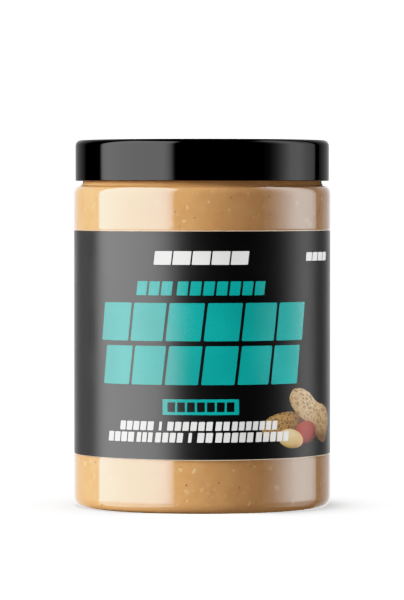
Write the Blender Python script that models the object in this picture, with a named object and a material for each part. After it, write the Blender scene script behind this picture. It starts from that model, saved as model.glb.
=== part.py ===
# Peanut butter jar, one kilogram size: a clear blow-moulded PET jar, the film label round
# its body, the black screw lid and the peanut butter that fills it up to the neck.
# Metres, +Z up. The origin is on the jar's axis, on the plane that it stands on.

from math import cos, pi, radians, sin

import bmesh
import bpy

# Driving dimensions
BODY_RADIUS = 0.0500
TOTAL_HEIGHT = 0.1422
NECK_RADIUS = 0.04635
LID_RADIUS = 0.0494
LID_HEIGHT = 0.0160
LABEL_BOTTOM = 0.0207
LABEL_HEIGHT = 0.0864

# Walls and the play between neighbouring pieces
JAR_WALL = 0.0010
LID_WALL = 0.0014
LABEL_THICKNESS = 0.00025
PLAY = 0.0003

# Jar body
HEEL_RADIUS = 0.0035
STANDING_RING_WIDTH = 0.0050
PUSH_UP_RADIUS = 0.0360
PUSH_UP_RIM = 0.0024
PUSH_UP_CENTRE = 0.0036
PANEL_DEPTH = 0.0006
PANEL_MARGIN = 0.0004
PANEL_EDGE = 0.0004
SHOULDER_START = 0.1210
SHOULDER_RISE = 0.0034
LEDGE_RADIUS = 0.04795
NECK_START = 0.1256
RIM_ROUNDING = 0.0003

# Lid
LID_EDGE_RADIUS = 0.0023
LID_HEM_ROUNDING = 0.0004
LID_INNER_FILLET = 0.0008

# Screw thread, one start
PITCH = 0.0040
THREAD_TURNS = 1.1
THREAD_ROOT_WIDTH = 0.0018
THREAD_CREST_WIDTH = 0.0008
THREAD_HEIGHT = 0.0010
THREAD_SUNK = 0.0004
THREAD_FADE_STEPS = 5
NECK_THREAD_START = 0.1312
LID_THREAD_BELOW_NECK_THREAD = PITCH / 2

# Resolution
SEGMENTS = 64
SHARP_ANGLE = radians(35)
WELD_DISTANCE = 1e-6

# Worked out from the sizes above
LID_BOTTOM = TOTAL_HEIGHT - LID_HEIGHT
LID_INNER_RADIUS = LID_RADIUS - LID_WALL
JAR_RIM = TOTAL_HEIGHT - LID_WALL - PLAY
FILL_LEVEL = JAR_RIM - 0.0060
RING_INNER_RADIUS = BODY_RADIUS - HEEL_RADIUS - STANDING_RING_WIDTH
LABEL_OUTER_RADIUS = BODY_RADIUS - PANEL_DEPTH + PLAY + LABEL_THICKNESS


def arc(centre, radius, start, end, steps):
    """Points of an elliptical arc, with angles in degrees from +r towards +z."""
    points = []
    for i in range(steps + 1):
        angle = radians(start + (end - start) * i / steps)
        points.append((centre[0] + radius[0] * cos(angle), centre[1] + radius[1] * sin(angle)))
    return points


def floor_outline(depth, steps):
    """The pushed-up floor, from the axis out to the standing ring's inner edge."""
    points = []
    for i in range(steps + 1):
        share = i / steps
        dome = PUSH_UP_CENTRE - (PUSH_UP_CENTRE - PUSH_UP_RIM) * share ** 2
        points.append((PUSH_UP_RADIUS * share, dome + depth))
    for i in range(1, steps + 1):
        share = i / steps
        radius = PUSH_UP_RADIUS + (RING_INNER_RADIUS - PUSH_UP_RADIUS) * share
        points.append((radius, PUSH_UP_RIM * (1 + cos(pi * share)) / 2 + depth))
    return points


def skin_outline(depth, steps):
    """The jar's side view from the axis at the floor up to the neck, depth inside its skin."""
    side = BODY_RADIUS - depth
    panel = side - PANEL_DEPTH
    panel_bottom = LABEL_BOTTOM - PANEL_MARGIN
    panel_top = LABEL_BOTTOM + LABEL_HEIGHT + PANEL_MARGIN
    heel_centre = (BODY_RADIUS - HEEL_RADIUS, HEEL_RADIUS)
    heel = HEEL_RADIUS - depth
    shoulder = (side - LEDGE_RADIUS, SHOULDER_RISE - depth)

    points = floor_outline(depth, steps)
    points += arc(heel_centre, (heel, heel), -90, 0, steps)
    points += [(side, panel_bottom - PANEL_EDGE), (panel, panel_bottom)]
    points += [(panel, panel_top), (side, panel_top + PANEL_EDGE)]
    points += arc((LEDGE_RADIUS, SHOULDER_START), shoulder, 0, 90, steps)
    points.append((NECK_RADIUS - depth, NECK_START - depth / 2))
    return points


def jar_outline():
    """The whole wall: up the outside, over the rim and down the inside."""
    inner = NECK_RADIUS - JAR_WALL
    rim = [
        (NECK_RADIUS, JAR_RIM - RIM_ROUNDING),
        (NECK_RADIUS - RIM_ROUNDING, JAR_RIM),
        (inner + RIM_ROUNDING, JAR_RIM),
        (inner, JAR_RIM - RIM_ROUNDING),
    ]
    return skin_outline(0, 5) + rim + skin_outline(JAR_WALL, 3)[::-1]


def filling_outline():
    """Peanut butter against the inside of the wall, with a level top."""
    depth = JAR_WALL + PLAY
    return skin_outline(depth, 3) + [(NECK_RADIUS - depth, FILL_LEVEL), (0, FILL_LEVEL)]


def lid_outline():
    """From the top's centre over the rounded edge, down the skirt and up inside it."""
    ceiling = LID_HEIGHT - LID_WALL
    edge_centre = (LID_RADIUS - LID_EDGE_RADIUS, LID_HEIGHT - LID_EDGE_RADIUS)
    return [
        (0, LID_HEIGHT),
        *arc(edge_centre, (LID_EDGE_RADIUS, LID_EDGE_RADIUS), 90, 0, 4),
        (LID_RADIUS, LID_HEM_ROUNDING),
        (LID_RADIUS - LID_HEM_ROUNDING, 0),
        (LID_INNER_RADIUS, 0),
        (LID_INNER_RADIUS, ceiling - LID_INNER_FILLET),
        (LID_INNER_RADIUS - LID_INNER_FILLET, ceiling),
        (0, ceiling),
    ]


def label_outline():
    """The film's section, a thin upright strip clear of the panel behind it."""
    inner = LABEL_OUTER_RADIUS - LABEL_THICKNESS
    return [(inner, 0), (LABEL_OUTER_RADIUS, 0), (LABEL_OUTER_RADIUS, LABEL_HEIGHT), (inner, LABEL_HEIGHT)]


def new_object(name, bm):
    """Turn a bmesh into a smooth-shaded object that keeps its hard edges."""
    mesh = bpy.data.meshes.new(name)
    bm.to_mesh(mesh)
    bm.free()
    mesh.shade_smooth()
    mesh.set_sharp_from_angle(angle=SHARP_ANGLE)
    obj = bpy.data.objects.new(name, mesh)
    bpy.context.collection.objects.link(obj)
    return obj


def turned(name, outline, ring=False):
    """Spin an (r, z) outline round the Z axis. A ring's outline closes on itself."""
    bm = bmesh.new()
    verts = [bm.verts.new((radius, 0, z)) for radius, z in outline]
    edges = [bm.edges.new(pair) for pair in zip(verts, verts[1:])]
    if ring:
        edges.append(bm.edges.new((verts[-1], verts[0])))
    bmesh.ops.spin(
        bm, geom=verts + edges, axis=(0, 0, 1), cent=(0, 0, 0),
        angle=2 * pi, steps=SEGMENTS, use_merge=True,
    )
    bmesh.ops.remove_doubles(bm, verts=bm.verts, dist=WELD_DISTANCE)
    bmesh.ops.recalc_face_normals(bm, faces=bm.faces)
    return new_object(name, bm)


def thread(name, wall_radius, outwards, start_z):
    """A trapezoid ridge that climbs round the wall and sinks into it at both ends.

    Its sections stand halfway between the wall's own upright edges, so that the union
    never has to cut along an edge.
    """
    root = wall_radius - outwards * THREAD_SUNK
    reach = outwards * (THREAD_SUNK + THREAD_HEIGHT)
    steps = round(SEGMENTS * THREAD_TURNS)
    bm = bmesh.new()
    sections = []
    for i in range(steps + 1):
        angle = 2 * pi * (i + 0.5) / SEGMENTS
        middle = start_z + PITCH * i / SEGMENTS
        fade = min(1, (i + 1) / THREAD_FADE_STEPS, (steps - i + 1) / THREAD_FADE_STEPS)
        crest = root + reach * fade
        corners = [
            (root, middle - THREAD_ROOT_WIDTH / 2),
            (crest, middle - THREAD_CREST_WIDTH / 2),
            (crest, middle + THREAD_CREST_WIDTH / 2),
            (root, middle + THREAD_ROOT_WIDTH / 2),
        ]
        sections.append([bm.verts.new((r * cos(angle), r * sin(angle), z)) for r, z in corners])
    for near, far in zip(sections, sections[1:]):
        for k in range(4):
            bm.faces.new((near[k], near[k - 1], far[k - 1], far[k]))
    bm.faces.new(sections[0])
    bm.faces.new(sections[-1][::-1])
    bmesh.ops.recalc_face_normals(bm, faces=bm.faces)
    return new_object(name, bm)


def fuse(obj, ridge):
    """Unite a thread with the wall that carries it."""
    ridge.parent = obj
    ridge.hide_render = True
    ridge.display_type = "WIRE"
    union = obj.modifiers.new("thread", "BOOLEAN")
    union.operation = "UNION"
    union.object = ridge


def finish(obj, parent, height, colour, roughness, transmission=0):
    """Set a piece in its place and give it its own material."""
    material = bpy.data.materials.new(obj.name)
    material.use_nodes = True
    shader = material.node_tree.nodes["Principled BSDF"]
    shader.inputs["Base Color"].default_value = (*colour, 1)
    shader.inputs["Roughness"].default_value = roughness
    shader.inputs["Transmission Weight"].default_value = transmission
    obj.data.materials.append(material)
    obj.parent = parent
    obj.location.z = height


def make_jar(axis):
    """Clear PET wall, with a recessed label panel, a shoulder ledge and a threaded neck."""
    jar = turned("jar", jar_outline())
    fuse(jar, thread("neck_thread", NECK_RADIUS, 1, NECK_THREAD_START))
    finish(jar, axis, 0, (0.95, 0.96, 0.95), 0.05, transmission=1)


def make_filling(axis):
    """Peanut butter, one solid up to just under the rim."""
    filling = turned("peanut_butter", filling_outline())
    finish(filling, axis, 0, (0.50, 0.26, 0.10), 0.55)


def make_label(axis):
    """Black film wrapped once round the panel."""
    label = turned("label", label_outline(), ring=True)
    finish(label, axis, LABEL_BOTTOM, (0.01, 0.01, 0.01), 0.30)


def make_lid(axis):
    """Black moulded cap with a smooth skirt, screwed down over the neck."""
    lid = turned("lid", lid_outline())
    thread_start = NECK_THREAD_START - LID_THREAD_BELOW_NECK_THREAD - LID_BOTTOM
    fuse(lid, thread("lid_thread", LID_INNER_RADIUS, -1, thread_start))
    finish(lid, axis, LID_BOTTOM, (0.01, 0.01, 0.01), 0.15)


for old in list(bpy.data.objects):
    bpy.data.objects.remove(old)

jar_axis = bpy.data.objects.new("jar_axis", None)
bpy.context.collection.objects.link(jar_axis)
make_jar(jar_axis)
make_filling(jar_axis)
make_label(jar_axis)
make_lid(jar_axis)
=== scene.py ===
import random
from math import ceil, cos, exp, pi, radians, sin, tan

import bmesh
import bpy
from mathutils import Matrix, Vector


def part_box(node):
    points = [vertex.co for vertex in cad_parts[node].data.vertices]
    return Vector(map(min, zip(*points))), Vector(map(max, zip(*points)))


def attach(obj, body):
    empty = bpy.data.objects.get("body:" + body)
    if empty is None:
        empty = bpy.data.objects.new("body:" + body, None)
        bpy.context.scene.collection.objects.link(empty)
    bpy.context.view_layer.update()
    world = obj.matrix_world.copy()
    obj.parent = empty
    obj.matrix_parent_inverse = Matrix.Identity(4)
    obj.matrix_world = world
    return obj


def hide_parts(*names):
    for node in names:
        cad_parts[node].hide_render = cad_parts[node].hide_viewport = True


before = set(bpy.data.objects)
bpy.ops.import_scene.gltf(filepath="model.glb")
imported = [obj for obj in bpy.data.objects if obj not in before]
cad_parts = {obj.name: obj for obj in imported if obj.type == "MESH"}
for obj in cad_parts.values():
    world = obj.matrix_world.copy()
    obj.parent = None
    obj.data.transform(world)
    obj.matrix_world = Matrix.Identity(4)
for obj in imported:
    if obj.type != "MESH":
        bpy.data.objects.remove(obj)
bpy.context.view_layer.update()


# The jar: clear PET, blow moulded, with a wall of about one millimetre. The neck keeps the
# moulded screw thread of its preform, and the blown body has a shallow panel for the label,
# a rounded heel and a pushed-up floor, so that it stands on a ring.
jar_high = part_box("jar")[1]
film_low, film_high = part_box("label")
BODY_RADIUS = jar_high.x
JAR_RIM = jar_high.z
JAR_WALL = 0.0010
FILM = 0.00015
GLUE = 0.00001
PANEL_RADIUS = film_high.x - FILM - GLUE
PANEL_MARGIN = 0.0004
PANEL_EDGE = 0.0004
HEEL_RADIUS = 0.0026
HEEL_HEIGHT = 0.0042
RING_INNER_RADIUS = 0.0415
PUSH_UP_RADIUS = 0.0360
PUSH_UP_RIM = 0.0024
PUSH_UP_CENTRE = 0.0036
SHOULDER_START = 0.1210
SHOULDER_RISE = 0.0034
LEDGE_RADIUS = 0.04795
NECK_RADIUS = 0.04635
NECK_FILLET = 0.0029
RIM_ROUNDING = 0.0003
SUPPORT = 0.0003
THREAD_PITCH = 0.0040
THREAD_TURNS = 1.1
THREAD_ROOT = 0.0018
THREAD_CREST = 0.0008
THREAD_HEIGHT = 0.0010
THREAD_SUNK = 0.0004
THREAD_FADE = 18
NECK_THREAD_START = 0.1312
TURN_STEPS = 240
SHARP_ANGLE = radians(35)
WELD_DISTANCE = 1e-6


def arc(centre, radii, start, end, steps):
    """Points of an elliptical arc in side view, with angles in degrees from outwards to up."""
    points = []
    for i in range(steps + 1):
        angle = radians(start + (end - start) * i / steps)
        points.append((centre[0] + radii[0] * cos(angle), centre[1] + radii[1] * sin(angle)))
    return points


def base(depth, steps):
    """Side view of the pushed-up floor, from the axis out to the ring that the jar stands on."""
    points = []
    for i in range(steps + 1):
        share = i / steps
        dome = PUSH_UP_CENTRE - (PUSH_UP_CENTRE - PUSH_UP_RIM) * share ** 2
        points.append((PUSH_UP_RADIUS * share, dome + depth))
    for i in range(1, steps + 1):
        share = i / steps
        radius = PUSH_UP_RADIUS + (RING_INNER_RADIUS - PUSH_UP_RADIUS) * share
        points.append((radius, PUSH_UP_RIM * (1 + cos(pi * share)) / 2 + depth))
    return points


def skin(depth, steps=14):
    """Side view of the jar from the middle of its floor up to the neck, depth inside its skin.

    The label's panel is a step in the outside only. The blown inside is smooth. Points just
    beyond each bend keep the long flat stretches flat.
    """
    side = BODY_RADIUS - depth
    panel = side if depth else PANEL_RADIUS
    panel_bottom = film_low.z - PANEL_MARGIN
    panel_top = film_high.z + PANEL_MARGIN
    heel = (HEEL_RADIUS - depth, HEEL_HEIGHT - depth)
    shoulder = (side - LEDGE_RADIUS, SHOULDER_RISE - depth)
    points = base(depth, steps)
    points += arc((BODY_RADIUS - HEEL_RADIUS, HEEL_HEIGHT), heel, -90, 0, steps)
    points += [
        (side, HEEL_HEIGHT + SUPPORT),
        (side, panel_bottom - PANEL_EDGE - SUPPORT),
        (side, panel_bottom - PANEL_EDGE),
        (panel, panel_bottom),
        (panel, panel_bottom + SUPPORT),
        (panel, panel_top - SUPPORT),
        (panel, panel_top),
        (side, panel_top + PANEL_EDGE),
        (side, panel_top + PANEL_EDGE + SUPPORT),
        (side, SHOULDER_START - SUPPORT),
    ]
    points += arc((LEDGE_RADIUS, SHOULDER_START), shoulder, 0, 90, steps)
    ledge = SHOULDER_START + SHOULDER_RISE
    fillet = (LEDGE_RADIUS - NECK_RADIUS + depth, NECK_FILLET + depth)
    points += arc((LEDGE_RADIUS, ledge + NECK_FILLET), fillet, 270, 180, steps)[1:]
    return points


def new_piece(name, work):
    """Make a smooth-shaded piece, with its hard edges kept, from a bmesh."""
    mesh = bpy.data.meshes.new(name)
    work.to_mesh(mesh)
    work.free()
    mesh.shade_smooth()
    mesh.set_sharp_from_angle(angle=SHARP_ANGLE)
    piece = bpy.data.objects.new(name, mesh)
    bpy.context.collection.objects.link(piece)
    return piece


def turned(name, outline, ring=False):
    """Turn a side view once round the jar's axis. A ring's side view closes on itself."""
    work = bmesh.new()
    verts = [work.verts.new((radius, 0, height)) for radius, height in outline]
    edges = [work.edges.new(pair) for pair in zip(verts, verts[1:])]
    if ring:
        edges.append(work.edges.new((verts[-1], verts[0])))
    bmesh.ops.spin(
        work, geom=verts + edges, axis=(0, 0, 1), cent=(0, 0, 0),
        angle=2 * pi, steps=TURN_STEPS, use_merge=True,
    )
    bmesh.ops.remove_doubles(work, verts=work.verts, dist=WELD_DISTANCE)
    bmesh.ops.recalc_face_normals(work, faces=work.faces)
    return new_piece(name, work)


def add_thread(piece, wall_radius, outwards, start_z):
    """Unite a climbing trapezoid ridge with the wall that carries it."""
    root = wall_radius - outwards * THREAD_SUNK
    reach = outwards * (THREAD_SUNK + THREAD_HEIGHT)
    steps = round(TURN_STEPS * THREAD_TURNS)
    work = bmesh.new()
    sections = []
    for i in range(steps + 1):
        angle = 2 * pi * (i + 0.5) / TURN_STEPS
        middle = start_z + THREAD_PITCH * i / TURN_STEPS
        crest = root + reach * min(1, (i + 1) / THREAD_FADE, (steps - i + 1) / THREAD_FADE)
        corners = [
            (root, middle - THREAD_ROOT / 2),
            (crest, middle - THREAD_CREST / 2),
            (crest, middle + THREAD_CREST / 2),
            (root, middle + THREAD_ROOT / 2),
        ]
        sections.append([work.verts.new((r * cos(angle), r * sin(angle), z)) for r, z in corners])
    for near, far in zip(sections, sections[1:]):
        for k in range(4):
            work.faces.new((near[k], near[k - 1], far[k - 1], far[k]))
    work.faces.new(sections[0])
    work.faces.new(sections[-1][::-1])
    bmesh.ops.recalc_face_normals(work, faces=work.faces)
    ridge = new_piece(piece.name + "_thread", work)

    union = piece.modifiers.new("thread", "BOOLEAN")
    union.operation = "UNION"
    union.object = ridge
    evaluated = piece.evaluated_get(bpy.context.evaluated_depsgraph_get())
    piece.data = bpy.data.meshes.new_from_object(evaluated)
    piece.modifiers.clear()
    bpy.data.objects.remove(ridge)


def add_node(tree, kind, inputs=None, **options):
    """Add a node, set its options, and plug or set each of its named or numbered inputs."""
    node = tree.nodes.new("ShaderNode" + kind)
    for option, value in options.items():
        setattr(node, option, value)
    for key, value in (inputs or {}).items():
        if isinstance(value, bpy.types.NodeSocket):
            tree.links.new(value, node.inputs[key])
        else:
            node.inputs[key].default_value = value
    return node


def calculate(tree, operation, first, second):
    """The result of one sum with two numbers."""
    return add_node(tree, "Math", {0: first, 1: second}, operation=operation).outputs[0]


def map_range(tree, value, low, high, to_low=0.0, to_high=1.0):
    """A value that runs from low to high, brought between to_low and to_high."""
    return add_node(tree, "MapRange", {0: value, 1: low, 2: high, 3: to_low, 4: to_high}).outputs[0]


def new_material(name):
    """An empty material with its output, ready for its own shader."""
    material = bpy.data.materials.new(name)
    material.use_nodes = True
    tree = material.node_tree
    tree.nodes.clear()
    return material, tree, tree.nodes.new("ShaderNodeOutputMaterial")


def new_group(name, inputs, outputs):
    """An empty shader node group with number inputs and outputs, and its two end nodes."""
    group = bpy.data.node_groups.new(name, "ShaderNodeTree")
    for label, value in inputs.items():
        socket = group.interface.new_socket(label, in_out="INPUT", socket_type="NodeSocketFloat")
        socket.default_value = value
    for label in outputs:
        group.interface.new_socket(label, in_out="OUTPUT", socket_type="NodeSocketFloat")
    return group, group.nodes.new("NodeGroupInput"), group.nodes.new("NodeGroupOutput")


def make_surface_group():
    """Uneven gloss and the slow and fine waves that moulding and rolling leave in plastic."""
    group, given, result = new_group(
        "moulded surface",
        {"Wave scale": 60.0, "Grain scale": 2500.0, "Grain share": 0.3, "Least": 0.1, "Most": 0.2},
        ["Roughness", "Height"],
    )
    place = add_node(group, "TexCoord").outputs["Object"]
    wave = add_node(group, "TexNoise", {"Vector": place, "Scale": given.outputs["Wave scale"], "Detail": 1.0})
    grain = add_node(
        group, "TexNoise", {"Vector": place, "Scale": given.outputs["Grain scale"], "Detail": 2.0}
    )
    both = add_node(
        group, "Mix", {0: given.outputs["Grain share"], 2: wave.outputs["Fac"], 3: grain.outputs["Fac"]}
    )
    gloss = map_range(group, both.outputs[0], 0.3, 0.7, given.outputs["Least"], given.outputs["Most"])
    group.links.new(gloss, result.inputs["Roughness"])
    group.links.new(both.outputs[0], result.inputs["Height"])
    return group


def add_group(tree, group, inputs):
    """Place a node group in a material with that material's own values."""
    return add_node(tree, "Group", inputs, node_tree=group)


def finish(piece, material):
    """Give a piece its material and the body it moves with."""
    piece.data.materials.clear()
    piece.data.materials.append(material)
    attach(piece, "root")


surface_group = make_surface_group()


def add_surface(tree, wave, grain, share, least, most, bump, depth):
    """The shared surface with a material's own values, as inputs for its shader, and its height."""
    surface = add_group(tree, surface_group, {
        "Wave scale": wave, "Grain scale": grain, "Grain share": share, "Least": least, "Most": most,
    })
    height = surface.outputs["Height"]
    relief = add_node(tree, "Bump", {"Strength": bump, "Distance": depth, "Height": height})
    return {"Roughness": surface.outputs["Roughness"], "Normal": relief.outputs[0]}, height


def clear_plastic():
    """Clear PET: lamps shine straight through it, and the eye sees it bend and reflect light."""
    material, tree, output = new_material("clear PET")
    surface, _ = add_surface(
        tree, wave=70.0, grain=900.0, share=0.15, least=0.015, most=0.035, bump=0.06, depth=0.0004
    )
    plastic = add_node(tree, "BsdfPrincipled", {
        "Base Color": (0.985, 0.99, 0.985, 1), "IOR": 1.57, "Transmission Weight": 1.0, **surface,
    })
    path = add_node(tree, "LightPath")
    lamps = calculate(tree, "MAXIMUM", path.outputs["Is Shadow Ray"], path.outputs["Is Diffuse Ray"])
    unseen = calculate(tree, "MAXIMUM", lamps, path.outputs["Is Glossy Ray"])
    through = add_node(tree, "BsdfTransparent")
    mix = add_node(tree, "MixShader", {0: unseen, 1: plastic.outputs[0], 2: through.outputs[0]})
    tree.links.new(mix.outputs[0], output.inputs["Surface"])
    return material


inner_neck = NECK_RADIUS - JAR_WALL
mouth = arc((NECK_RADIUS - RIM_ROUNDING, JAR_RIM - RIM_ROUNDING), (RIM_ROUNDING,) * 2, 0, 90, 5)
mouth += arc((inner_neck + RIM_ROUNDING, JAR_RIM - RIM_ROUNDING), (RIM_ROUNDING,) * 2, 90, 180, 5)
jar = turned("jar_wall", skin(0) + mouth + skin(JAR_WALL)[::-1])
add_thread(jar, NECK_RADIUS, 1, NECK_THREAD_START)
jar.data.set_sharp_from_angle(angle=SHARP_ANGLE)
finish(jar, clear_plastic())
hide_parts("jar")


# The peanut butter: an oily brown paste with chopped nuts in it. It is poured in warm, so it
# lies flat against the wall all round, and it is filled to just under the rim.
FILL_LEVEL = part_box("peanut_butter")[1].z
BITE_INTO_WALL = 0.00015
PASTE_DEPTH = JAR_WALL - BITE_INTO_WALL
PASTE_COLOUR = (0.75, 0.365, 0.135)
PASTE_SHADE = (0.69, 0.32, 0.113)
PASTE_LIGHT = (0.82, 0.47, 0.215)
PASTE_DARK = (0.36, 0.17, 0.075)
NUT_IOR = 1.47


def make_speckle_group():
    """A mask of small round spots: a share of the cells of a pattern each hold one."""
    group, given, result = new_group("speckle", {"Scale": 400.0, "Share": 0.2, "Spot": 0.25}, ["Mask"])
    place = add_node(group, "TexCoord").outputs["Object"]
    cells = add_node(group, "TexVoronoi", {"Vector": place, "Scale": given.outputs["Scale"]})
    lot = add_node(group, "SeparateColor", {0: cells.outputs["Color"]})
    chosen = calculate(group, "LESS_THAN", lot.outputs[0], given.outputs["Share"])
    edge = calculate(group, "MULTIPLY", given.outputs["Spot"], 0.6)
    spot = map_range(group, cells.outputs["Distance"], edge, given.outputs["Spot"], 1.0, 0.0)
    group.links.new(calculate(group, "MULTIPLY", chosen, spot), result.inputs["Mask"])
    return group


def mix_colour(tree, factor, first, second):
    """A colour that goes from first to second as the factor rises."""
    return add_node(tree, "Mix", {0: factor, 6: first, 7: second}, data_type="RGBA").outputs[2]


def uneven_colour(tree, scale, detail, first, second):
    """A colour that wanders between two, in clouds of the given scale."""
    place = add_node(tree, "TexCoord").outputs["Object"]
    cloud = add_node(tree, "TexNoise", {"Vector": place, "Scale": scale, **detail})
    tone = map_range(tree, cloud.outputs["Fac"], 0.35, 0.65)
    return mix_colour(tree, tone, (*first, 1), (*second, 1))


def add_shader(tree, output, inputs):
    """Plug the material's own shader into its output."""
    shader = add_node(tree, "BsdfPrincipled", inputs)
    tree.links.new(shader.outputs[0], output.inputs["Surface"])


speckle_group = make_speckle_group()


def paste():
    """Peanut butter: cloudy brown, with paler nut flour, tiny dark flakes and an oily shine."""
    material, tree, output = new_material("peanut butter")
    colour = uneven_colour(tree, 160.0, {"Detail": 4.0, "Roughness": 0.6}, PASTE_SHADE, PASTE_COLOUR)
    flour = add_group(tree, speckle_group, {"Scale": 520.0, "Share": 0.16, "Spot": 0.28})
    pale = calculate(tree, "MULTIPLY", flour.outputs[0], 0.55)
    colour = mix_colour(tree, pale, colour, (*PASTE_LIGHT, 1))
    flakes = add_group(tree, speckle_group, {"Scale": 800.0, "Share": 0.035, "Spot": 0.24})
    dark = calculate(tree, "MULTIPLY", flakes.outputs[0], 0.4)
    colour = mix_colour(tree, dark, colour, (*PASTE_DARK, 1))
    surface, _ = add_surface(
        tree, wave=130.0, grain=1400.0, share=0.5, least=0.10, most=0.20, bump=0.12, depth=0.0004
    )
    add_shader(tree, output, {"Base Color": colour, "IOR": NUT_IOR, **surface})
    return material


fill_top = [(NECK_RADIUS - PASTE_DEPTH, FILL_LEVEL), (0, FILL_LEVEL)]
filling = turned("peanut_butter_fill", skin(PASTE_DEPTH) + fill_top)
finish(filling, paste())
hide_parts("peanut_butter")


# Chopped nuts and bits of their brown skins: those that lie against the wall show as paler
# slivers and dark dots in the paste, above and below the label.
SHOWING_BANDS = [(0.0030, film_low.z - 0.0012), (film_high.z + 0.0012, SHOULDER_START + 0.0005)]
NUT_COUNT = 210
SKIN_COUNT = 190
NUT_COLOUR = (0.82, 0.47, 0.22)
SKIN_COLOUR = (0.30, 0.13, 0.055)
bits = random.Random(11)


def paste_place():
    """A random place on the paste where it shows, as an angle and a height."""
    spans = [top - bottom for bottom, top in SHOWING_BANDS]
    bottom, top = bits.choices(SHOWING_BANDS, weights=spans)[0]
    return bits.uniform(0, 2 * pi), bits.uniform(bottom, top)


def scatter(name, count, size_range, slimmest, proud, ragged):
    """Join many small uneven lenses, each sunk in the paste with its face at the wall."""
    work = bmesh.new()
    for _ in range(count):
        angle, height = paste_place()
        length = bits.uniform(*size_range) ** 2 / size_range[1]
        width = length * bits.uniform(slimmest, 1)
        turn = bits.uniform(0, pi)
        lens = bmesh.ops.create_icosphere(work, subdivisions=2, radius=1)["verts"]
        phases = [bits.uniform(0, 2 * pi) for _ in range(3)]
        for vert in lens:
            flat = vert.co.copy()
            swell = 1 + ragged * sum(
                sin((k + 2) * 2 * flat.x + phases[k]) * cos((k + 1) * 2 * flat.y + phases[k])
                for k in range(3)
            )
            x, y = flat.x * length / 2 * swell, flat.y * width / 2 * swell
            along, up = x * cos(turn) - y * sin(turn), x * sin(turn) + y * cos(turn)
            place = angle + along / BODY_RADIUS
            rise = proud * length
            radius = BODY_RADIUS - PASTE_DEPTH - rise + 2 * rise * flat.z
            vert.co = (radius * cos(place), radius * sin(place), height + up)
    bmesh.ops.recalc_face_normals(work, faces=work.faces)
    return new_piece(name, work)


def nut_material(name, light, dark, scale):
    """Nut flesh or skin, a little uneven in colour from bit to bit."""
    material, tree, output = new_material(name)
    colour = uneven_colour(tree, scale, {"Detail": 2.0}, dark, light)
    surface, _ = add_surface(
        tree, wave=300.0, grain=3000.0, share=0.5, least=0.22, most=0.36, bump=0.15, depth=0.0002
    )
    add_shader(tree, output, {"Base Color": colour, "IOR": NUT_IOR, **surface})
    return material


nuts = scatter("nut_bits", NUT_COUNT, (0.0009, 0.0032), slimmest=0.35, proud=0.022, ragged=0.10)
finish(nuts, nut_material("chopped nut", NUT_COLOUR, PASTE_COLOUR, scale=260.0))
skins = scatter("nut_skins", SKIN_COUNT, (0.0005, 0.0011), slimmest=0.5, proud=0.03, ragged=0.10)
finish(skins, nut_material("nut skin", PASTE_DARK, SKIN_COLOUR, scale=400.0))


# The label: a black printed film wrapped once round the panel and glued at the back, where
# its end laps over its start. The clear film under the print shows as a thin pale edge.
FILM_RADIUS = film_high.x
CLEAR_FILM = 0.00006
CLEAR_MARGIN = 0.0003
LAP_WIDTH_MM = 9.0
LAP_RISE = 0.00004
FILM_GRAIN = {"wave": 45.0, "grain": 5000.0, "share": 0.35, "bump": 0.10, "depth": 0.0002}
MM = 0.001


def cut_film(name, inner, outer, bottom, top):
    """A thin sleeve of film."""
    return turned(name, [(inner, bottom), (outer, bottom), (outer, top), (inner, top)], ring=True)


def film_material(name, colour, alpha, least, most):
    """Rolled plastic film with a satin print surface."""
    material, tree, output = new_material(name)
    surface, height = add_surface(tree, least=least, most=most, **FILM_GRAIN)
    fleck = map_range(tree, height, 0.3, 0.7, 0.85, 1.15)
    shade = add_node(tree, "HueSaturation", {"Color": (*colour, 1), "Value": fleck})
    add_shader(tree, output, {
        "Base Color": shade.outputs[0], "Specular IOR Level": 0.63, "Alpha": alpha, **surface,
    })
    return material


clear_film = cut_film(
    "label_clear_film", FILM_RADIUS - FILM, FILM_RADIUS - FILM + CLEAR_FILM,
    film_low.z - CLEAR_MARGIN, film_high.z + CLEAR_MARGIN,
)
pale_film = film_material("clear film", (0.75, 0.65, 0.50), alpha=0.35, least=0.15, most=0.25)
finish(clear_film, pale_film)
black_film = cut_film(
    "label_black_film", FILM_RADIUS - FILM + CLEAR_FILM + GLUE, FILM_RADIUS, film_low.z, film_high.z
)
black_ink = film_material("black film", (0.0006, 0.0006, 0.0007), alpha=1.0, least=0.29, most=0.35)
finish(black_film, black_ink)
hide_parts("label")


# The print: opaque inks laid on the black film in thin coats, as rows of slanted blocks, bars
# and rules. Places are in millimetres, along the film from the middle of the front and up
# from the table.
INK_COAT = 0.00003
INK_SUNK = 0.00002
OVERPRINT = 0.00001
CHORD = 0.7
LEAN = 0.12
TEAL = (0.002, 0.265, 0.245)
WHITE = (0.67, 0.67, 0.66)
INK_GLOSS = {"least": 0.24, "most": 0.30}


def round_off(corners, rounding):
    """The same outline with each corner taken round in three points."""
    points = []
    for i, corner in enumerate(corners):
        here = Vector(corner)
        back = Vector(corners[i - 1]) - here
        on = Vector(corners[(i + 1) % len(corners)]) - here
        start = here + back.normalized() * rounding
        end = here + on.normalized() * rounding
        points += [tuple(start), tuple((start + here * 2 + end) / 4), tuple(end)]
    return points


def block(left, right, bottom, top, rounding=0.25, lean=LEAN):
    """One block between two places along the film, leaning to the right as it goes up."""
    middle = (bottom + top) / 2
    low, high = (bottom - middle) * lean, (top - middle) * lean
    corners = [(left + low, bottom), (right + low, bottom), (right + high, top), (left + high, top)]
    return round_off(corners, rounding)


def block_row(left, right, bottom, top, count, gap, rounding=0.25, lean=LEAN):
    """A row of equal blocks between two places along the film."""
    pitch = (right - left + gap) / count
    return [
        block(left + i * pitch, left + (i + 1) * pitch - gap, bottom, top, rounding, lean)
        for i in range(count)
    ]


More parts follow.
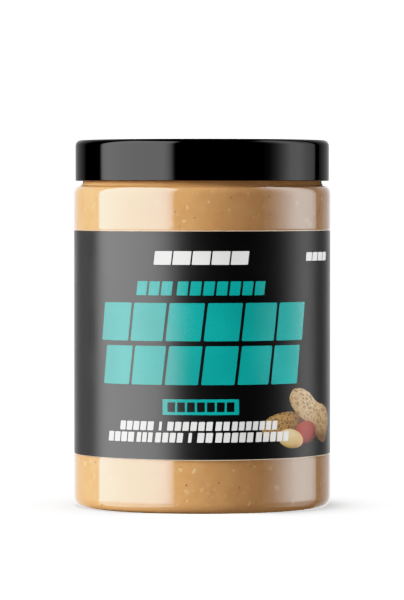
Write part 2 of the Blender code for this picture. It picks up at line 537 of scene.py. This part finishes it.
def lay_on_film(name, outlines, proud):
    """Cut the outlines out of a thin coat and wrap it round the film."""
    work = bmesh.new()
    for outline in outlines:
        work.faces.new([work.verts.new((along, 0, up)) for along, up in outline])
    left = min(vert.co.x for vert in work.verts)
    right = max(vert.co.x for vert in work.verts)
    for k in range(ceil(left / CHORD), ceil(right / CHORD)):
        whole = work.verts[:] + work.edges[:] + work.faces[:]
        bmesh.ops.bisect_plane(work, geom=whole, dist=1e-5, plane_co=(k * CHORD, 0, 0), plane_no=(1, 0, 0))
    bmesh.ops.triangulate(work, faces=[face for face in work.faces if len(face.verts) > 4])
    made = bmesh.ops.extrude_face_region(work, geom=work.faces[:], use_keep_orig=True)["geom"]
    outer = {item for item in made if isinstance(item, bmesh.types.BMVert)}
    for vert in work.verts:
        radius = FILM_RADIUS + proud if vert in outer else FILM_RADIUS - INK_SUNK
        angle = vert.co.x * MM / FILM_RADIUS
        vert.co = (radius * sin(angle), -radius * cos(angle), vert.co.z * MM)
    bmesh.ops.recalc_face_normals(work, faces=work.faces)
    return new_piece(name, work)


def ink(name, colour):
    """Opaque printing ink with the film's satin surface."""
    return film_material(name, colour, alpha=1.0, **INK_GLOSS)


HALF_WAY_ROUND = pi * FILM_RADIUS / MM
LAP_EDGES = (HALF_WAY_ROUND - LAP_WIDTH_MM / 2, HALF_WAY_ROUND + LAP_WIDTH_MM / 2)
lap_shape = block(*LAP_EDGES, film_low.z / MM, film_high.z / MM, rounding=0.1, lean=0)
lap = lay_on_film("label_lap", [lap_shape], LAP_RISE)
finish(lap, black_ink)

teal_shapes = block_row(-42.5, 44.1, 65.6, 80.0, 6, gap=1.2, rounding=0.5)
teal_shapes += block_row(-41.4, 41.1, 49.05, 63.7, 6, gap=1.2, rounding=0.5)
teal_shapes += block_row(-25.8, -11.5, 82.9, 88.2, 3, gap=0.9)
teal_shapes += block_row(-9.5, 24.7, 82.9, 88.2, 7, gap=0.9)
teal_shapes.append(block(-15.2, 14.1, 37.7, 43.6, rounding=0.15, lean=0))

tag_shapes = block_row(-13.3, 12.3, 38.8, 42.5, 7, gap=0.8, rounding=0.2, lean=0)
tag_print = lay_on_film("print_tag_blocks", tag_shapes, INK_COAT + OVERPRINT)
finish(tag_print, black_ink)

# Each row's bottom and top, then the left edge, right edge and number of blocks of its words.
WORD_ROWS = [
    (31.8, 35.1, [(-33.4, -18.9, 5), (-16.6, -15.6, 1), (-13.3, 3.9, 6), (5.1, 10.4, 2), (11.4, 30.2, 7)]),
    (27.3, 30.9, [(-39.4, -27.3, 4), (-25.9, -19.4, 3), (-18.1, -7.4, 4), (-5.2, -4.0, 1),
                  (-1.8, 3.9, 2), (5.1, 19.8, 5), (21.0, 35.8, 5)]),
    (94.5, 99.6, [(-18.5, 17.9, 5)]),
    (95.7, 98.9, [(46.0, 62.9, 4)]),
]
white_shapes = []
for bottom, top, row_words in WORD_ROWS:
    for left, right, count in row_words:
        white_shapes += block_row(left, right, bottom, top, count, gap=0.7, rounding=0.2)

# The back of the label has columns of short pale bars under teal headings, and a ruled table.
# They start where the front's print can no longer be seen.
PRINT_TOP = 99.0
PRINT_BOTTOM = 27.5
BACK_COLUMNS = [(-147.0, -118.0), (-113.5, -84.5)]
PARAGRAPHS = [(66.0, PRINT_TOP), (PRINT_BOTTOM, 61.0)]
HEADING = 2.6
HEADING_SHARE = 0.55
HEADING_GAP = 1.6
LINE_PITCH = 2.6
LINE_HEIGHT = 0.85
LAST_LINE_SHARE = 0.6
SHORTEST_BAR = 1.5
BAR_LENGTHS = (1.2, 5.5)
BAR_GAP = 1.0
TABLE = (86.0, 146.0)
TABLE_ROWS = 14
TABLE_MARGIN = 1.5
MIDDLE_COLUMN_END = TABLE[1] - 22
ENTRY_LENGTHS = (10, 26)
FIGURE_LENGTHS = (3, 7)
RULE = 0.3
lengths = random.Random(5)


def bar(left, right, bottom, top):
    """One upright bar with its corners just taken off."""
    return block(left, right, bottom, top, rounding=0.1, lean=0)


def paragraph(left, right, bottom, top):
    """Lines of short bars as long as words, the last of them cut short."""
    bars = []
    line = top - LINE_HEIGHT
    while line > bottom:
        start = left
        end = right if line - LINE_PITCH > bottom else left + (right - left) * LAST_LINE_SHARE
        while start < end - SHORTEST_BAR:
            stop = min(end, start + lengths.uniform(*BAR_LENGTHS))
            bars.append(bar(start, stop, line, line + LINE_HEIGHT))
            start = stop + BAR_GAP
        line -= LINE_PITCH
    return bars


for left, right in BACK_COLUMNS:
    for bottom, top in PARAGRAPHS:
        teal_shapes.append(bar(left, left + (right - left) * HEADING_SHARE, top - HEADING, top))
        white_shapes += paragraph(left, right, bottom, top - HEADING - HEADING_GAP)

row_pitch = (PRINT_TOP - PRINT_BOTTOM) / TABLE_ROWS
teal_shapes.append(bar(*TABLE, PRINT_TOP - row_pitch + RULE, PRINT_TOP))
for k in range(TABLE_ROWS):
    rule = PRINT_BOTTOM + k * row_pitch
    white_shapes.append(bar(*TABLE, rule, rule + RULE))
    if k < TABLE_ROWS - 1:
        middle = rule + (row_pitch + RULE) / 2
        low, high = middle - LINE_HEIGHT / 2, middle + LINE_HEIGHT / 2
        entry_end = TABLE[0] + lengths.uniform(*ENTRY_LENGTHS)
        white_shapes.append(bar(TABLE[0] + TABLE_MARGIN, entry_end, low, high))
        for column_end in (MIDDLE_COLUMN_END, TABLE[1] - TABLE_MARGIN):
            figure_start = column_end - lengths.uniform(*FIGURE_LENGTHS)
            white_shapes.append(bar(figure_start, column_end, low, high))

teal_print = lay_on_film("print_teal", teal_shapes, INK_COAT)
finish(teal_print, ink("teal ink", TEAL))
white_print = lay_on_film("print_white", white_shapes, INK_COAT + 2 * OVERPRINT)
finish(white_print, ink("white ink", WHITE))


# The picture on the label: nuts in their shells and two without, printed in thin coats, the
# nearest last. Each is placed by its middle along and up the film and by its tilt, with half
# its length and half its width, in millimetres and degrees.
PICTURE_COAT = 0.0000035
NUT_POINTS = 72
WAIST_REACH = 0.38
LIGHT_ASIDE = -0.3
LIGHT_ABOVE = 0.38


def nut_outline(place, waist=0.0, fuller=0.0, blunt=1.0):
    """A nut from its side: an oval, drawn in round its waist and fuller at its right end."""
    middle_along, middle_up, tilt, half_length, half_width = place
    lean = radians(tilt)
    points = []
    for i in range(NUT_POINTS):
        turn = 2 * pi * i / NUT_POINTS
        along = cos(turn)
        across = abs(sin(turn)) ** blunt * (1 if sin(turn) >= 0 else -1)
        across *= (1 - waist * exp(-(along / WAIST_REACH) ** 2)) * (1 + fuller * along)
        x, y = half_length * along, half_width * across
        right = middle_along + x * cos(lean) - y * sin(lean)
        up = middle_up + x * sin(lean) + y * cos(lean)
        points.append((right, up))
    return points


def make_film_place_group():
    """Where a point of the film lies from a nut's middle, as shares of the nut's half sizes."""
    group, given, result = new_group(
        "place in the picture",
        {"Middle along": 0.0, "Middle up": 0.0, "Tilt": 0.0, "Half length": 1.0, "Half width": 1.0},
        ["Along", "Across"],
    )
    point = add_node(group, "SeparateXYZ", {0: add_node(group, "TexCoord").outputs["Object"]})
    forward = calculate(group, "MULTIPLY", point.outputs[1], -1.0)
    angle = calculate(group, "ARCTAN2", point.outputs[0], forward)
    round_film = calculate(group, "MULTIPLY", angle, FILM_RADIUS / MM)
    up_film = calculate(group, "MULTIPLY", point.outputs[2], 1 / MM)
    x = calculate(group, "SUBTRACT", round_film, given.outputs["Middle along"])
    y = calculate(group, "SUBTRACT", up_film, given.outputs["Middle up"])
    tilted = add_node(group, "CombineXYZ", {0: x, 1: y})
    back = calculate(group, "MULTIPLY", given.outputs["Tilt"], -pi / 180)
    level = add_node(
        group, "VectorRotate", {"Vector": tilted.outputs[0], "Angle": back}, rotation_type="Z_AXIS"
    )
    parts = add_node(group, "SeparateXYZ", {0: level.outputs[0]})
    for k, (share, half) in enumerate([("Along", "Half length"), ("Across", "Half width")]):
        part = calculate(group, "DIVIDE", parts.outputs[k], given.outputs[half])
        group.links.new(part, result.inputs[share])
    return group


def make_round_group():
    """The soft light on a round thing, from the upper left, darker towards its lower rim."""
    group, given, result = new_group("picture roundness", {"Along": 0.0, "Across": 0.0}, ["Light"])
    aside = calculate(group, "MULTIPLY", given.outputs["Along"], LIGHT_ASIDE)
    above = calculate(group, "MULTIPLY", given.outputs["Across"], LIGHT_ABOVE)
    slope = calculate(group, "ADD", aside, above)
    out = add_node(group, "CombineXYZ", {0: given.outputs["Along"], 1: given.outputs["Across"]})
    reach = add_node(group, "VectorMath", {0: out.outputs[0]}, operation="LENGTH")
    rim = map_range(group, reach.outputs["Value"], 0.55, 1.05, 0.0, 0.35)
    light = calculate(group, "SUBTRACT", slope, rim)
    group.links.new(map_range(group, light, -0.75, 0.35), result.inputs["Light"])
    return group


def make_shell_group():
    """The net of ridges along a shell, and the pits between them."""
    group, given, result = new_group(
        "shell net", {"Along": 0.0, "Across": 0.0, "Ridges": 3.0, "Rungs": 5.0}, ["Pits"]
    )
    x = calculate(group, "MULTIPLY", given.outputs["Along"], given.outputs["Rungs"])
    y = calculate(group, "MULTIPLY", given.outputs["Across"], given.outputs["Ridges"])
    place = add_node(group, "CombineXYZ", {0: x, 1: y}).outputs[0]
    stray = add_node(group, "TexNoise", {"Vector": place, "Scale": 1.6, "Detail": 2.0})
    bent = add_node(
        group, "VectorMath", {0: stray.outputs["Color"], 1: (0.9, 0.9, 0.0), 2: place},
        operation="MULTIPLY_ADD",
    )
    net = add_node(
        group, "TexVoronoi", {"Vector": bent.outputs[0], "Scale": 1.0}, feature="DISTANCE_TO_EDGE"
    )
    pit = map_range(group, net.outputs["Distance"], 0.03, 0.2)
    rough = add_node(group, "TexNoise", {"Vector": place, "Scale": 3.5, "Detail": 3.0})
    uneven = map_range(group, rough.outputs["Fac"], 0.3, 0.7, 0.35, 1.0)
    group.links.new(calculate(group, "MULTIPLY", pit, uneven), result.inputs["Pits"])
    return group


film_place_group = make_film_place_group()
round_group = make_round_group()
shell_group = make_shell_group()


def add_ramp(tree, factor, stops):
    """A run of colours through its stops, each a place with a colour or a grey level."""
    ramp = add_node(tree, "ValToRGB", {0: factor})
    elements = ramp.color_ramp.elements
    elements.remove(elements[1])
    for i, (place, tone) in enumerate(stops):
        element = elements[0] if i == 0 else elements.new(place)
        element.position = place
        element.color = (*tone, 1) if isinstance(tone, tuple) else (tone, tone, tone, 1)
    return ramp.outputs[0]


def picture_ink(name, place, dark, middle, light, net=None, warm=None):
    """Printed nut colours from dark to light, with a net of pits or a warm end where it has one.

    The net is its number of ridges and of rungs.
    """
    material, tree, output = new_material(name)
    names = ["Middle along", "Middle up", "Tilt", "Half length", "Half width"]
    where = add_group(tree, film_place_group, dict(zip(names, place)))
    spot = {"Along": where.outputs["Along"], "Across": where.outputs["Across"]}
    lit = add_group(tree, round_group, spot)
    colour = add_ramp(tree, lit.outputs[0], [(0, dark), (0.45, middle), (0.85, light)])
    if warm:
        end = map_range(tree, spot["Along"], 0.35, 1.0, 0.0, 0.8)
        colour = mix_colour(tree, end, colour, (*warm, 1))
    if net:
        pits = add_group(tree, shell_group, {**spot, "Ridges": net[0], "Rungs": net[1]})
        colour = mix_colour(tree, pits.outputs[0], colour, (*dark, 1))
    surface, _ = add_surface(tree, **INK_GLOSS, **FILM_GRAIN)
    add_shader(tree, output, {"Base Color": colour, "Specular IOR Level": 0.45, **surface})
    return material


# Each nut's piece, ink, place, form (waist, fuller, blunt), colours from dark to light, and
# its net or warm end.
PICTURE = [
    ("picture_shade", "printed shade", (45.6, 35.2, 8.0, 5.8, 4.6), (),
     [(0.015, 0.005, 0.005), (0.05, 0.01, 0.01), (0.065, 0.016, 0.014)], {}),
    ("picture_left_shell", "printed dark shell", (33.0, 33.0, 11.0, 9.6, 5.3), (0.05, -0.05, 0.85),
     [(0.045, 0.02, 0.008), (0.22, 0.11, 0.03), (0.34, 0.19, 0.062)], {"net": (4.4, 5.8)}),
    ("picture_big_shell", "printed pale shell", (51.0, 37.4, -29.0, 16.0, 7.1), (0.32, 0.28, 0.6),
     [(0.10, 0.05, 0.02), (0.34, 0.21, 0.095), (0.50, 0.34, 0.18)], {"net": (4.6, 5.6)}),
    ("picture_red_nut", "printed red skin", (46.2, 30.2, 0.0, 6.5, 4.3), (0.0, 0.0, 0.8),
     [(0.055, 0.006, 0.004), (0.175, 0.016, 0.01), (0.24, 0.026, 0.015)], {}),
    ("picture_pale_nut", "printed pale nut", (37.4, 28.0, -10.0, 6.6, 3.6), (0.0, -0.06),
     [(0.17, 0.09, 0.03), (0.41, 0.27, 0.10), (0.56, 0.41, 0.21)], {"warm": (0.66, 0.34, 0.17)}),
]
picture_pieces = []
for name, ink_name, place, form, colours, extras in PICTURE:
    coat = INK_COAT + PICTURE_COAT * len(picture_pieces)
    piece = lay_on_film(name, [nut_outline(place, *form)], coat)
    finish(piece, picture_ink(ink_name, place, *colours, **extras))
    picture_pieces.append(piece)


# The lid: black polypropylene, injection moulded and glossy, with a plain skirt. The flat top
# has a slightly sunk satin face with the mark of the mould's gate in its middle. The lid is
# screwed down over the neck.
lid_low, lid_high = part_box("lid")
LID_RADIUS = lid_high.x
LID_WALL = 0.0014
LID_EDGE = 0.0023
LID_HEM = 0.0004
LID_FILLET = 0.0008
LID_SUPPORT = 0.0002
GATE_RADIUS = 0.0016
GATE_FLOOR_RADIUS = GATE_RADIUS * 0.8
GATE_DEPTH = 0.0002
TOP_REST_RADIUS = 0.0452
TOP_DISH = 0.00025
FACE_RADIUS = TOP_REST_RADIUS - 0.0018
FACE_RISE = 0.00003
DISHED = lid_high.z - TOP_DISH
# How far each point of the dish's slope is from its upper edge, and its share of the depth.
DISH_SLOPE = [(0.0016, 0), (0.0012, 0), (0.0008, 0.15), (0.0004, 0.85), (0, 1)]


def lid_side_view():
    """From the gate mark out over the top's edge, down the skirt and up inside it."""
    inner = LID_RADIUS - LID_WALL
    ceiling = lid_high.z - LID_WALL
    edge = (LID_RADIUS - LID_EDGE, lid_high.z - LID_EDGE)
    hem = (LID_RADIUS - LID_HEM, lid_low.z + LID_HEM)
    fillet = (inner - LID_FILLET, ceiling - LID_FILLET)
    return [
        (0, DISHED - GATE_DEPTH),
        (GATE_FLOOR_RADIUS, DISHED - GATE_DEPTH),
        (GATE_RADIUS, DISHED),
        (GATE_RADIUS + LID_SUPPORT, DISHED),
        *[(TOP_REST_RADIUS - inwards, DISHED + TOP_DISH * share) for inwards, share in DISH_SLOPE],
        (TOP_REST_RADIUS + LID_SUPPORT, lid_high.z),
        *arc(edge, (LID_EDGE, LID_EDGE), 90, 0, 16),
        *arc(hem, (LID_HEM, LID_HEM), 0, -90, 6),
        (inner, lid_low.z),
        *arc(fillet, (LID_FILLET, LID_FILLET), 0, 90, 6),
        (0, ceiling),
    ]


def satin_face_side_view():
    """The sunk face as a thin disc that follows the gate mark in its middle."""
    mark = DISHED - GATE_DEPTH
    upper = [
        (0, mark + FACE_RISE),
        (GATE_FLOOR_RADIUS, mark + FACE_RISE),
        (GATE_RADIUS, DISHED + FACE_RISE),
        (GATE_RADIUS + LID_SUPPORT, DISHED + FACE_RISE),
        (FACE_RADIUS, DISHED + FACE_RISE),
    ]
    lower = [(radius, height - 2 * FACE_RISE) for radius, height in reversed(upper)]
    return upper + lower


def black_plastic(name, tone, least, most):
    """Black moulded plastic, faintly uneven, with fine grain and dust."""
    material, tree, output = new_material(name)
    surface, _ = add_surface(
        tree, wave=55.0, grain=3500.0, share=0.2, least=least, most=most, bump=0.06, depth=0.0003
    )
    dust = add_group(tree, speckle_group, {"Scale": 900.0, "Share": 0.01, "Spot": 0.12})
    dusty = tone + 0.007
    colour = mix_colour(tree, dust.outputs[0], (tone, tone, tone, 1), (dusty, dusty, dusty, 1))
    add_shader(tree, output, {"Base Color": colour, "Specular IOR Level": 0.35, **surface})
    return material


lid = turned("lid_cap", lid_side_view())
add_thread(lid, LID_RADIUS - LID_WALL, -1, NECK_THREAD_START - THREAD_PITCH / 2)
lid.data.set_sharp_from_angle(angle=SHARP_ANGLE)
gloss_black = black_plastic("black lid plastic", tone=0.0008, least=0.035, most=0.06)
finish(lid, gloss_black)
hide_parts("lid")

lid_face = turned("lid_satin_face", satin_face_side_view())
satin_black = black_plastic("satin lid plastic", tone=0.02, least=0.24, most=0.34)
finish(lid_face, satin_black)


# The studio. Tall soft panels stand left, right and behind, to be seen in the gloss alone.
# The paste, the print, the lid's face and the floor each have soft lamps of their own, so that
# their brightness can be set without changing the reflections. All round it is white paper.
STAND_OFF = 0.90
AIM_HEIGHT = 0.071
PANEL_LOWEST = -35
PANEL_HIGHEST = 60
FOOT_FADE = (-16, -8)


def direction(azimuth, elevation=0):
    """A unit vector from the jar, in degrees round from the front to the right, and up."""
    level = cos(radians(elevation))
    return Vector((sin(radians(azimuth)) * level, -cos(radians(azimuth)) * level, sin(radians(elevation))))


def set_up(name, lamp, place, toward, lit=None):
    """Stand a lamp in the scene, unseen by the camera, for everything or for some objects only."""
    stand = bpy.data.objects.new(name, lamp)
    bpy.context.collection.objects.link(stand)
    stand.location = place
    stand.rotation_euler = toward.to_track_quat("-Z", "Y").to_euler()
    stand.visible_camera = False
    if lit:
        chosen = bpy.data.collections.new("lit by " + name)
        for piece in lit:
            chosen.objects.link(piece)
        stand.light_linking.receiver_collection = chosen
    return stand


def soft_panel(name, azimuth, half_angle, radiance, glow, lit, foot):
    """A tall panel facing the jar's axis, seen in the gloss only.

    It fills half_angle to either side of its azimuth. Its glow is a list of (share of width,
    brightness), read from the jar's left to its right, and its foot can be dimmer.
    """
    width = 2 * STAND_OFF * tan(radians(half_angle))
    bottom = AIM_HEIGHT + STAND_OFF * tan(radians(PANEL_LOWEST))
    top = AIM_HEIGHT + STAND_OFF * tan(radians(PANEL_HIGHEST))
    lamp = bpy.data.lights.new(name, "AREA")
    lamp.shape = "RECTANGLE"
    lamp.size, lamp.size_y = width, top - bottom
    lamp.energy = radiance * pi * width * (top - bottom)
    lamp.use_nodes = True
    tree = lamp.node_tree
    across = add_node(tree, "SeparateXYZ", {0: add_node(tree, "NewGeometry").outputs["Parametric"]})
    fade = [(AIM_HEIGHT + STAND_OFF * tan(radians(angle)) - bottom) / (top - bottom) for angle in FOOT_FADE]
    emission = tree.nodes["Emission"]
    tree.links.new(add_ramp(tree, across.outputs[0], glow), emission.inputs["Color"])
    tree.links.new(map_range(tree, across.outputs[1], *fade, foot), emission.inputs["Strength"])
    aside = direction(azimuth)
    middle = aside * STAND_OFF + Vector((0, 0, (bottom + top) / 2))
    set_up(name, lamp, middle, -aside, lit).visible_diffuse = False


def far_lamp(name, azimuth, elevation, radiance, spread, lit):
    """A soft distant lamp without a reflection. A white surface that faces it gets this radiance."""
    lamp = bpy.data.lights.new(name, "SUN")
    lamp.energy = radiance * pi
    lamp.angle = radians(spread)
    aside = direction(azimuth, elevation)
    stand = set_up(name, lamp, aside, -aside, lit)
    stand.visible_glossy = False
    return stand


paste_pieces = [filling, nuts, skins]
film_pieces = [clear_film, black_film, lap, teal_print, tag_print, white_print, *picture_pieces]
LID_LEFT_GLOW = [
    (0, 0), (0.025, 0), (0.045, 0.1), (0.08, 0.5), (0.115, 0.7), (0.22, 0.87), (0.36, 0.94),
    (0.585, 0.98), (0.839, 0.99), (0.881, 0.84), (0.908, 0.7), (0.95, 0.38), (0.973, 0.14), (1, 0),
]
LABEL_LEFT_GLOW = [
    (0, 0.1), (0.02, 0.5), (0.06, 0.95), (0.27, 1), (0.6, 1), (0.78, 0.92), (0.88, 0.7), (1, 0.22),
]
WALL_LEFT_GLOW = [
    (0, 0), (0.015, 0), (0.045, 0.6), (0.07, 0.9), (0.27, 0.92), (0.58, 0.97), (0.833, 1),
    (0.9, 0.8), (0.94, 0.58), (0.965, 0.3), (1, 0),
]
LID_RIGHT_GLOW = [
    (0, 0), (0.13, 0.04), (0.23, 0.18), (0.33, 0.5), (0.46, 1), (0.6, 0.9), (0.75, 0.5),
    (0.85, 0.35), (0.97, 0.2), (1, 0),
]
LABEL_RIGHT_GLOW = [
    (0, 0), (0.3, 0.03), (0.45, 0.4), (0.6, 0.92), (0.7, 1), (0.85, 0.54), (0.97, 0.08), (1, 0),
]
WALL_RIGHT_GLOW = [
    (0, 0.05), (0.12, 0.14), (0.25, 0.38), (0.36, 0.66), (0.5, 1), (0.6, 1), (0.8, 0.7),
    (0.95, 0.3), (1, 0),
]
BACK_GLOW = [
    (0, 0.04), (0.09, 0.15), (0.24, 0.33), (0.32, 0.5), (0.5, 1), (0.68, 0.5), (0.76, 0.33),
    (0.91, 0.15), (1, 0.04),
]
LABEL_BACK_GLOW = [
    (0, 0), (0.156, 0.02), (0.258, 0.1), (0.333, 0.22), (0.395, 0.65), (0.5, 1), (0.605, 0.6),
    (0.667, 0.2), (0.742, 0.13), (0.844, 0.16), (0.95, 0.3), (1, 0.3),
]
# Each panel's azimuth, half angle, radiance, glow, the pieces that show it, and the
# brightness of its foot.
PANELS = [
    ("left_panel_for_lid", -64.75, 40.75, 4.03, LID_LEFT_GLOW, [lid], 1.0),
    ("left_panel_for_label", -64.25, 41.25, 3.95, LABEL_LEFT_GLOW, film_pieces, 1.0),
    ("left_panel_for_lid_face", -64.75, 40.75, 0.6, WALL_LEFT_GLOW, [lid_face], 1.0),
    ("left_panel_for_jar", -64.5, 41, 8.2, WALL_LEFT_GLOW, [jar], 0.45),
    ("left_panel_for_paste", -64.5, 41, 1.6, WALL_LEFT_GLOW, paste_pieces, 0.2),
    ("right_panel_for_lid", 88.5, 33.5, 2.15, LID_RIGHT_GLOW, [lid], 1.0),
    ("right_panel_for_label", 88.5, 33.5, 1.7, LABEL_RIGHT_GLOW, film_pieces, 1.0),
    ("right_panel_for_jar", 88.5, 33.5, 5.0, WALL_RIGHT_GLOW, [jar], 0.3),
    ("right_panel_for_paste", 88.5, 33.5, 1.1, WALL_RIGHT_GLOW, paste_pieces, 0.2),
    ("back_panel_for_lid", 180, 50, 0.72, BACK_GLOW, [lid, lid_face], 1.0),
    ("back_panel_for_jar", 180, 50, 2.3, BACK_GLOW, [jar], 1.0),
    ("back_panel_for_paste", 180, 50, 0.5, BACK_GLOW, paste_pieces, 1.0),
    ("back_panel_for_label", 180, 60, 1.95, LABEL_BACK_GLOW, film_pieces, 1.0),
]
for panel in PANELS:
    soft_panel(*panel)

# Each lamp's azimuth, elevation, radiance, spread and the pieces that it lights.
FAR_LAMPS = [
    ("lid_face_lamp", 0, 70, 1.2, 60, [lid_face]),
    ("paste_key", -73, 17, 1.70, 35, paste_pieces),
    ("paste_top_lamp", -20, 70, 0.18, 50, paste_pieces),
    ("paste_fill", 75, 0, 0.06, 40, paste_pieces),
    ("paste_back_key", 180, 25, 0.9, 60, paste_pieces),
]
for azimuth in (-90, 0, 90, 180):
    FAR_LAMPS.append((f"paste_room_light_{azimuth}", azimuth, 0, 0.22, 120, paste_pieces))
for azimuth, radiance in [(-70, 0.44), (-25, 1.27), (65, 0.26), (110, 1.64), (180, 0.6)]:
    FAR_LAMPS.append((f"print_lamp_{azimuth}", azimuth, 0, radiance, 20, film_pieces))
for lamp in FAR_LAMPS:
    far_lamp(*lamp)

FLOOR_SIZE = 12.0
FLOOR_BELOW_RING = 0.00005
# The shade round the jar is painted into the paper's colour: how far it reaches, how deep it goes, its share
# on the left, the front where it is left out, and its tones.
PAINTED_SHADE_REACH = 0.030
PAINTED_SHADE_DEPTH = 2.1
PAINTED_SHADE_LEFT_SHARE = 0.62
NO_PAINTED_SHADE_IN_FRONT = (-0.99, -0.82)
PAINTED_SHADE_TONES = [
    (0, 0.95), (0.2, 0.81), (0.45, 0.62), (0.62, 0.46), (0.76, 0.37), (0.92, 0.31), (1, 0.28),
]
floor_mesh = bmesh.new()
bmesh.ops.create_grid(floor_mesh, x_segments=1, y_segments=1, size=FLOOR_SIZE / 2)
floor = new_piece("floor", floor_mesh)
floor.location.z = -FLOOR_BELOW_RING


def floor_paper_with_painted_shade():
    """White paper with a painted shade close round the jar. It is darker where the jar takes up more of
    the space near the floor, deeper on the right, and left out in front."""
    material, tree, output = new_material("white paper floor")
    grain = add_group(tree, surface_group, {
        "Wave scale": 8.0, "Grain scale": 700.0, "Grain share": 0.6, "Least": 0.8, "Most": 0.95,
    })
    place = add_node(tree, "TexCoord").outputs["Object"]
    toward = add_node(tree, "VectorMath", {0: place}, operation="NORMALIZE")
    way = add_node(tree, "SeparateXYZ", {0: toward.outputs[0]})
    side = map_range(tree, way.outputs[0], -1.0, 1.0, PAINTED_SHADE_DEPTH * PAINTED_SHADE_LEFT_SHARE, PAINTED_SHADE_DEPTH)
    depth = calculate(tree, "MULTIPLY", side, map_range(tree, way.outputs[1], *NO_PAINTED_SHADE_IN_FRONT))
    near = add_node(tree, "AmbientOcclusion", {"Distance": PAINTED_SHADE_REACH}, samples=32)
    hidden = calculate(tree, "SUBTRACT", 1.0, near.outputs["AO"])
    shade = calculate(tree, "MULTIPLY", hidden, depth)
    add_shader(tree, output, {
        "Base Color": add_ramp(tree, shade, PAINTED_SHADE_TONES), "Roughness": grain.outputs["Roughness"],
        "Specular IOR Level": 0.0,
    })
    return material


floor.data.materials.append(floor_paper_with_painted_shade())
floor.visible_diffuse = False
floor.visible_glossy = False
floor.visible_transmission = False
floor.visible_shadow = False
# The floor's lamp casts no shadow; the shade round the jar is painted into the paper.
far_lamp("floor_lamp", 0, 60, 2.8, 30, [floor]).data.use_shadow = False

# The paper all round is bright to the eye and through the clear wall, and black in the gloss.
PAPER_GLOW = 2.3
world = bpy.data.worlds.new("white paper")
world.use_nodes = True
bpy.context.scene.world = world
world_tree = world.node_tree
world_tree.nodes.clear()
seen = add_node(world_tree, "LightPath")
either = calculate(
    world_tree, "MAXIMUM", seen.outputs["Is Camera Ray"], seen.outputs["Is Transmission Ray"]
)
shown = calculate(world_tree, "MULTIPLY", either, PAPER_GLOW)
paper = add_node(world_tree, "Background", {"Color": (1, 1, 1, 1), "Strength": shown})
add_node(world_tree, "OutputWorld", {"Surface": paper.outputs[0]})

# The picture is developed with a soft shoulder: highlights are pressed together below white.
SHOULDER = [(0.45, 0.45), (0.6, 0.56), (0.8, 0.69), (1.2, 0.87), (1.65, 0.945)]
WHITE_LEVEL = 2.2
view = bpy.context.scene.view_settings
view.view_transform = "Standard"
view.use_curve_mapping = True
view.curve_mapping.white_level = (WHITE_LEVEL,) * 3
curve = view.curve_mapping.curves[3]
for bright, shown_as in SHOULDER:
    curve.points.new(bright / WHITE_LEVEL, shown_as)
view.curve_mapping.update()


# The camera: a long lens at about the height of the shoulder, a good step and a half away,
# tipped down a little.
CAMERA_DISTANCE = 1.6
CAMERA_HEIGHT = 0.1212
CAMERA_SIDE = -0.00008
CAMERA_TIP = radians(1.478)
LENS = 246.5
FILM_BACK = 36

camera = bpy.data.objects.new("camera", bpy.data.cameras.new("camera"))
bpy.context.collection.objects.link(camera)
camera.data.sensor_fit = "VERTICAL"
camera.data.sensor_height = FILM_BACK
camera.data.lens = LENS
camera.location = (CAMERA_SIDE, -CAMERA_DISTANCE, CAMERA_HEIGHT)
camera.rotation_euler = (pi / 2 - CAMERA_TIP, 0, 0)
bpy.context.scene.camera = camera
